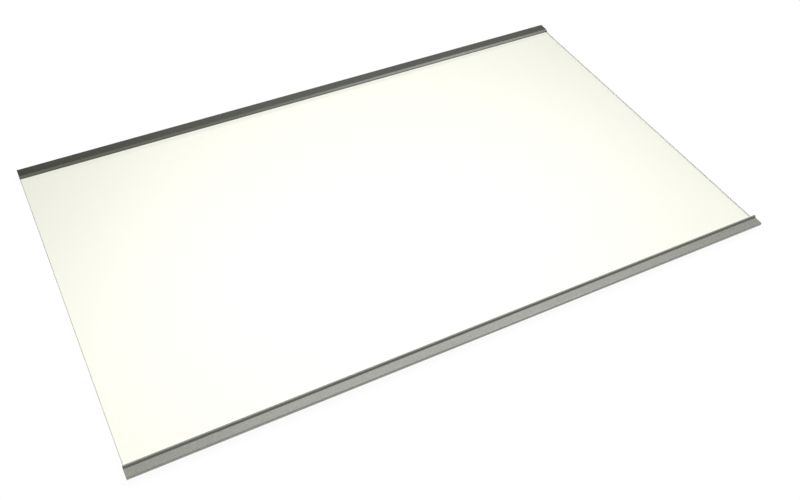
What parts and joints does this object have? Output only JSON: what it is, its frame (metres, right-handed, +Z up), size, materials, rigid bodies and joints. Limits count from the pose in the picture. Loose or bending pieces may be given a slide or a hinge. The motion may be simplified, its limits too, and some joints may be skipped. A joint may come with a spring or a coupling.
{
  "type": "fridge glass shelf",
  "caption": "Flat fridge shelf: a clear glass pane gripped along its front and back edges by extruded plastic trims, resting on a liner's side ledges.",
  "frame": {"origin": "under the middle of the shelf, on the plane that both trims rest on", "axes": "+X along the width, +Y from the front trim to the rear trim, +Z up through the glass"},
  "size_m": [0.521, 0.3146, 0.0089],
  "materials": {
    "clear_glass": "clear toughened float glass with ground edges",
    "silver_trim": "satin silver grey film on a dark grey extrusion",
    "dark_trim": "satin dark grey extruded plastic"
  },
  "bodies": {
    "root": {"glass_pane": "clear_glass", "front_trim": "silver_trim", "rear_trim": "dark_trim"}
  },
  "joints": []
}
